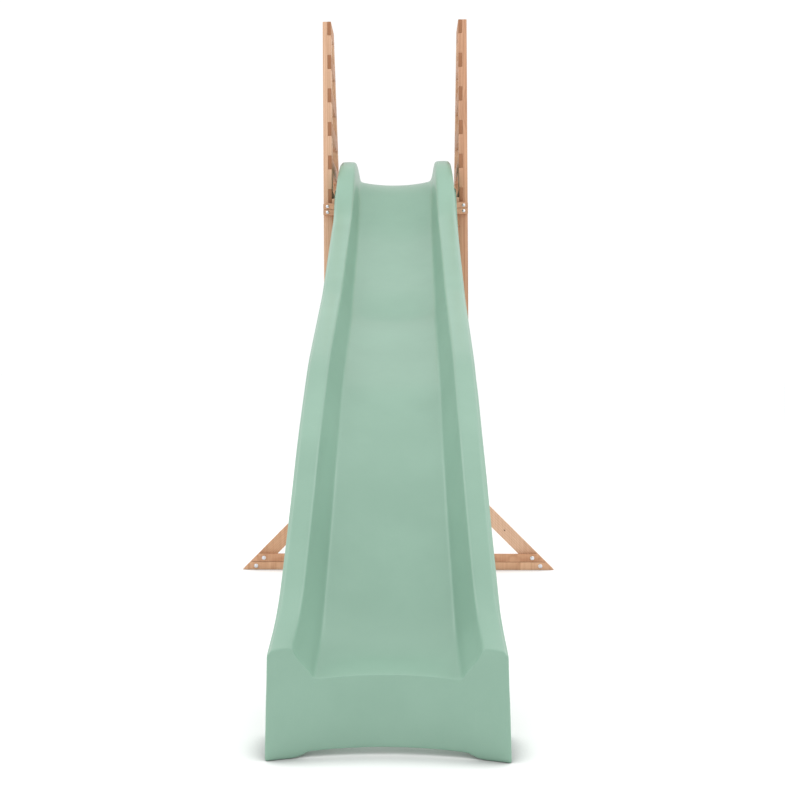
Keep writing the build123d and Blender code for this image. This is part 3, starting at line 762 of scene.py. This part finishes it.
def base_and_braces():
    for name, seed, pale, deep in (("lower", 12, (214, 172, 138), (172, 122, 86)),
                                   ("upper", 17, (206, 160, 126), (164, 112, 78))):
        low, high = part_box("base_strip_" + name)
        tip = CAD_BOX[1][0]
        outline = [(-tip + low[2], low[2]), (tip - low[2], low[2]),
                   (tip - high[2], high[2]), (-tip + high[2], high[2])]
        mesh = prism(outline, lambda x, z: (x, low[1], z), (0, high[1] - low[1], 0))
        rounded(piece(f"strip_{name}", mesh, fir("strip_" + name, GRAIN_ACROSS, seed, pale, deep),
                      [f"base_strip_{name}"]), BOARD_EASE)
    for name, side in SIDES.items():
        node = f"brace_{name}"
        low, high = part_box(node)
        wide, near = (high[0], low[0]) if side > 0 else (-low[0], -high[0])
        across = BRACE_WIDTH * math.sqrt(2)
        outline = [(wide, 0.0), (wide - across, 0.0), (near, wide - near - across),
                   (near, wide - near)]
        mesh = prism([(side * x, z) for x, z in outline], lambda x, z: (x, low[1], z),
                     (0, high[1] - low[1], 0))
        pale, deep = ((214, 172, 138), (176, 128, 94)) if side < 0 else (
            (222, 186, 158), (186, 142, 110))
        material = fir(node, (-side, 0, 1), 21 + side, pale, deep)
        brace = piece(node + "_wood", mesh, material, [node])
        hole_x = side * (wide - across / 2 - ANCHOR_HEIGHT)
        drill(brace, (hole_x, ANCHOR_HEIGHT), low[1], high[1])
        rounded(brace, PLANED_EASE)


def drill(obj, spot, front, back):
    """A small through hole along Y."""
    mesh = bmesh.new()
    beyond = 0.01
    start = (spot[0], front - beyond, spot[1])
    length = back - front + 2 * beyond
    add_spun(mesh, [(0, 0), (ANCHOR_RADIUS, 0), (ANCHOR_RADIUS, length), (0, length)],
             start, (0, 1, 0), 24)
    bmesh.ops.recalc_face_normals(mesh, faces=mesh.faces)
    data = bpy.data.meshes.new("drill")
    mesh.to_mesh(data)
    mesh.free()
    cutter = bpy.data.objects.new("drill", data)
    bpy.context.scene.collection.objects.link(cutter)
    cut = obj.modifiers.new("hole", "BOOLEAN")
    cut.operation = "DIFFERENCE"
    cut.solver = "EXACT"
    cut.object = cutter
    apply_modifiers(obj)
    bpy.data.objects.remove(cutter)


def plain_boards():
    for number in range(1, DECK_COUNT + 1):
        timber_box(f"deck_board_{number}", GRAIN_ACROSS, 30 + number * 2, "board_timber",
                   pale=(212, 174, 142), deep=(174, 128, 96))
    for number in range(1, TREAD_COUNT + 1):
        timber_box(f"ladder_tread_{number}", GRAIN_ACROSS, 51 + number * 3, "frame_timber",
                   TREAD_EASE)
    for name in SIDES:
        timber_box(f"platform_rail_{name}", GRAIN_BACK, 70 + len(name), "frame_timber")
        timber_box(f"foot_tie_{name}", GRAIN_BACK, 80 + len(name), "frame_timber")
    timber_box("crossboard_upper", GRAIN_ACROSS, 91, "facing_timber", LATH_EASE,
               pale=(208, 164, 130), deep=(168, 120, 88))
    timber_box("crossboard_lower", GRAIN_ACROSS, 95, "facing_timber", LATH_EASE,
               pale=(204, 160, 126), deep=(164, 116, 84))
    timber_box("rear_crossboard", GRAIN_ACROSS, 98, "facing_timber")
    timber_box("rear_base_rail", GRAIN_ACROSS, 99, "frame_timber")


# ---------------------------------------------------------------- fasteners
DOME_STEPS = 8
TIP_CHAMFER = 0.0012
STAR_STEPS = 36
WOOD_SCREW_HEAD = 0.0045
CHUTE_SCREW_HEAD = 0.006


def domed_bolts(node, radius, head_radius, dome, material):
    """Coach bolts: a low dome with a turned rim, then the plain shank and its chamfered tip."""
    mesh = bmesh.new()
    for head, shank, length in fastener_places(node):
        profile = [(0, 0)]
        for step in range(1, DOME_STEPS + 1):
            turn = math.pi / 2 * step / DOME_STEPS
            profile.append((head_radius * math.sin(turn) * 0.97, dome * (1 - math.cos(turn)) * 0.8))
        profile += [(head_radius, dome * 0.88), (head_radius, dome), (radius, dome),
                    (radius, length - TIP_CHAMFER), (radius - TIP_CHAMFER, length), (0, length)]
        add_spun(mesh, profile, head, shank)
    bmesh.ops.recalc_face_normals(mesh, faces=mesh.faces)
    return piece(node + "_turned", mesh, material, [node], 35)


def screw_heads(node, radius, material):
    """Countersunk heads with a six-point star recess, on their shanks."""
    mesh = bmesh.new()
    for head, shank, length in fastener_places(node):
        turn = Vector((0, 0, 1)).rotation_difference(shank).to_matrix().to_4x4()
        place = Matrix.Translation(head) @ turn

        def ring(size, depth, star=0.0):
            verts = []
            for step in range(STAR_STEPS):
                angle = 2 * math.pi * step / STAR_STEPS
                reach = size * (1 + star * math.cos(6 * angle))
                verts.append(mesh.verts.new(place @ Vector((
                    reach * math.cos(angle), reach * math.sin(angle), depth))))
            return verts

        body = 0.5 * radius
        rings = [ring(radius * 0.40, radius * 0.42, 0.16), ring(radius * 0.42, radius * 0.04, 0.16),
                 ring(radius * 0.46, 0.0, 0.15), ring(radius * 0.93, 0.0),
                 ring(radius, radius * 0.07), ring(body, radius * 0.55),
                 ring(body, length - 3 * body), ring(body * 0.15, length)]
        for low, high in zip(rings, rings[1:]):
            for step in range(STAR_STEPS):
                after = (step + 1) % STAR_STEPS
                mesh.faces.new([low[step], low[after], high[after], high[step]])
        mesh.faces.new(rings[0])
        mesh.faces.new(rings[-1])
    bmesh.ops.recalc_face_normals(mesh, faces=mesh.faces)
    return piece(node + "_headed", mesh, material, [node], 35)


def fasteners():
    bright = zinc("bright_zinc", tint(236, 238, 242), tint(205, 208, 214), 0.22)
    yellow = zinc("yellow_zinc", tint(196, 180, 140), tint(150, 130, 92), 0.30)
    domed_bolts("base_bolts", radius=0.004, head_radius=0.009, dome=0.005, material=bright)
    domed_bolts("crossboard_bolts", radius=0.003, head_radius=0.007, dome=0.005, material=bright)
    for node in ("base_nuts", "base_washers", "crossboard_nuts", "crossboard_washers"):
        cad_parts[node].data.materials.clear()
        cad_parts[node].data.materials.append(bright)
    for node in ("guard_screws", "rail_screws", "deck_screws", "tread_screws", "brace_screws",
                 "tie_screws", "beam_screws"):
        screw_heads(node, WOOD_SCREW_HEAD, yellow)
    screw_heads("slide_screws", CHUTE_SCREW_HEAD, bright)


# ---------------------------------------------------------------- stage
def area_light(name, place, aim, size, power):
    data = bpy.data.lights.new(name, "AREA")
    data.shape = "RECTANGLE"
    data.size, data.size_y = size
    data.energy = power
    light = bpy.data.objects.new(name, data)
    light.location = place
    light.rotation_euler = (Vector(aim) - Vector(place)).to_track_quat("-Z", "Y").to_euler()
    bpy.context.scene.collection.objects.link(light)


def studio():
    """A wide white floor, a white sky, a soft light overhead and a softbox at each side."""
    reach = 60.0
    mesh = bmesh.new()
    corners = [mesh.verts.new((x * reach, y * reach, 0.0))
               for x, y in ((-1, -1), (1, -1), (1, 1), (-1, 1))]
    mesh.faces.new(corners)
    data = bpy.data.meshes.new("floor")
    mesh.to_mesh(data)
    mesh.free()
    floor = bpy.data.objects.new("floor", data)
    floor.data.materials.append(studio_floor())
    bpy.context.scene.collection.objects.link(floor)
    world = bpy.data.worlds.new("studio")
    bpy.context.scene.world = world
    world.use_nodes = True
    background = world.node_tree.nodes["Background"]
    background.inputs["Color"].default_value = (1.0, 1.0, 1.0, 1.0)
    background.inputs["Strength"].default_value = 1.03
    area_light("overhead", (0.2, FRONT - 2.0, 5.5), (0, FRONT - 0.6, 0.6), (5.0, 5.0), 45)
    for name, side in SIDES.items():
        area_light(name + "_softbox", (side * 4.5, FRONT - 1.0, 4.6), (0, FRONT - 1.3, 0.7),
                   (3.2, 3.6), 70)
    bpy.context.scene.view_settings.view_transform = "Standard"
    bpy.context.scene.view_settings.look = "None"


def camera():
    data = bpy.data.cameras.new("camera")
    data.lens = 54.1
    data.sensor_width = 36.0
    data.shift_x = 0.0428
    data.shift_y = -0.0465
    data.clip_end = 200.0
    eye = bpy.data.objects.new("camera", data)
    eye.location = (0.050, FRONT - 4.917, 0.8875)
    eye.rotation_euler = (math.radians(90), math.radians(0.33), math.radians(2.4))
    bpy.context.scene.collection.objects.link(eye)
    bpy.context.scene.camera = eye


chute()
posts_and_legs()
guard_boards()
base_and_braces()
plain_boards()
fasteners()
studio()
camera()
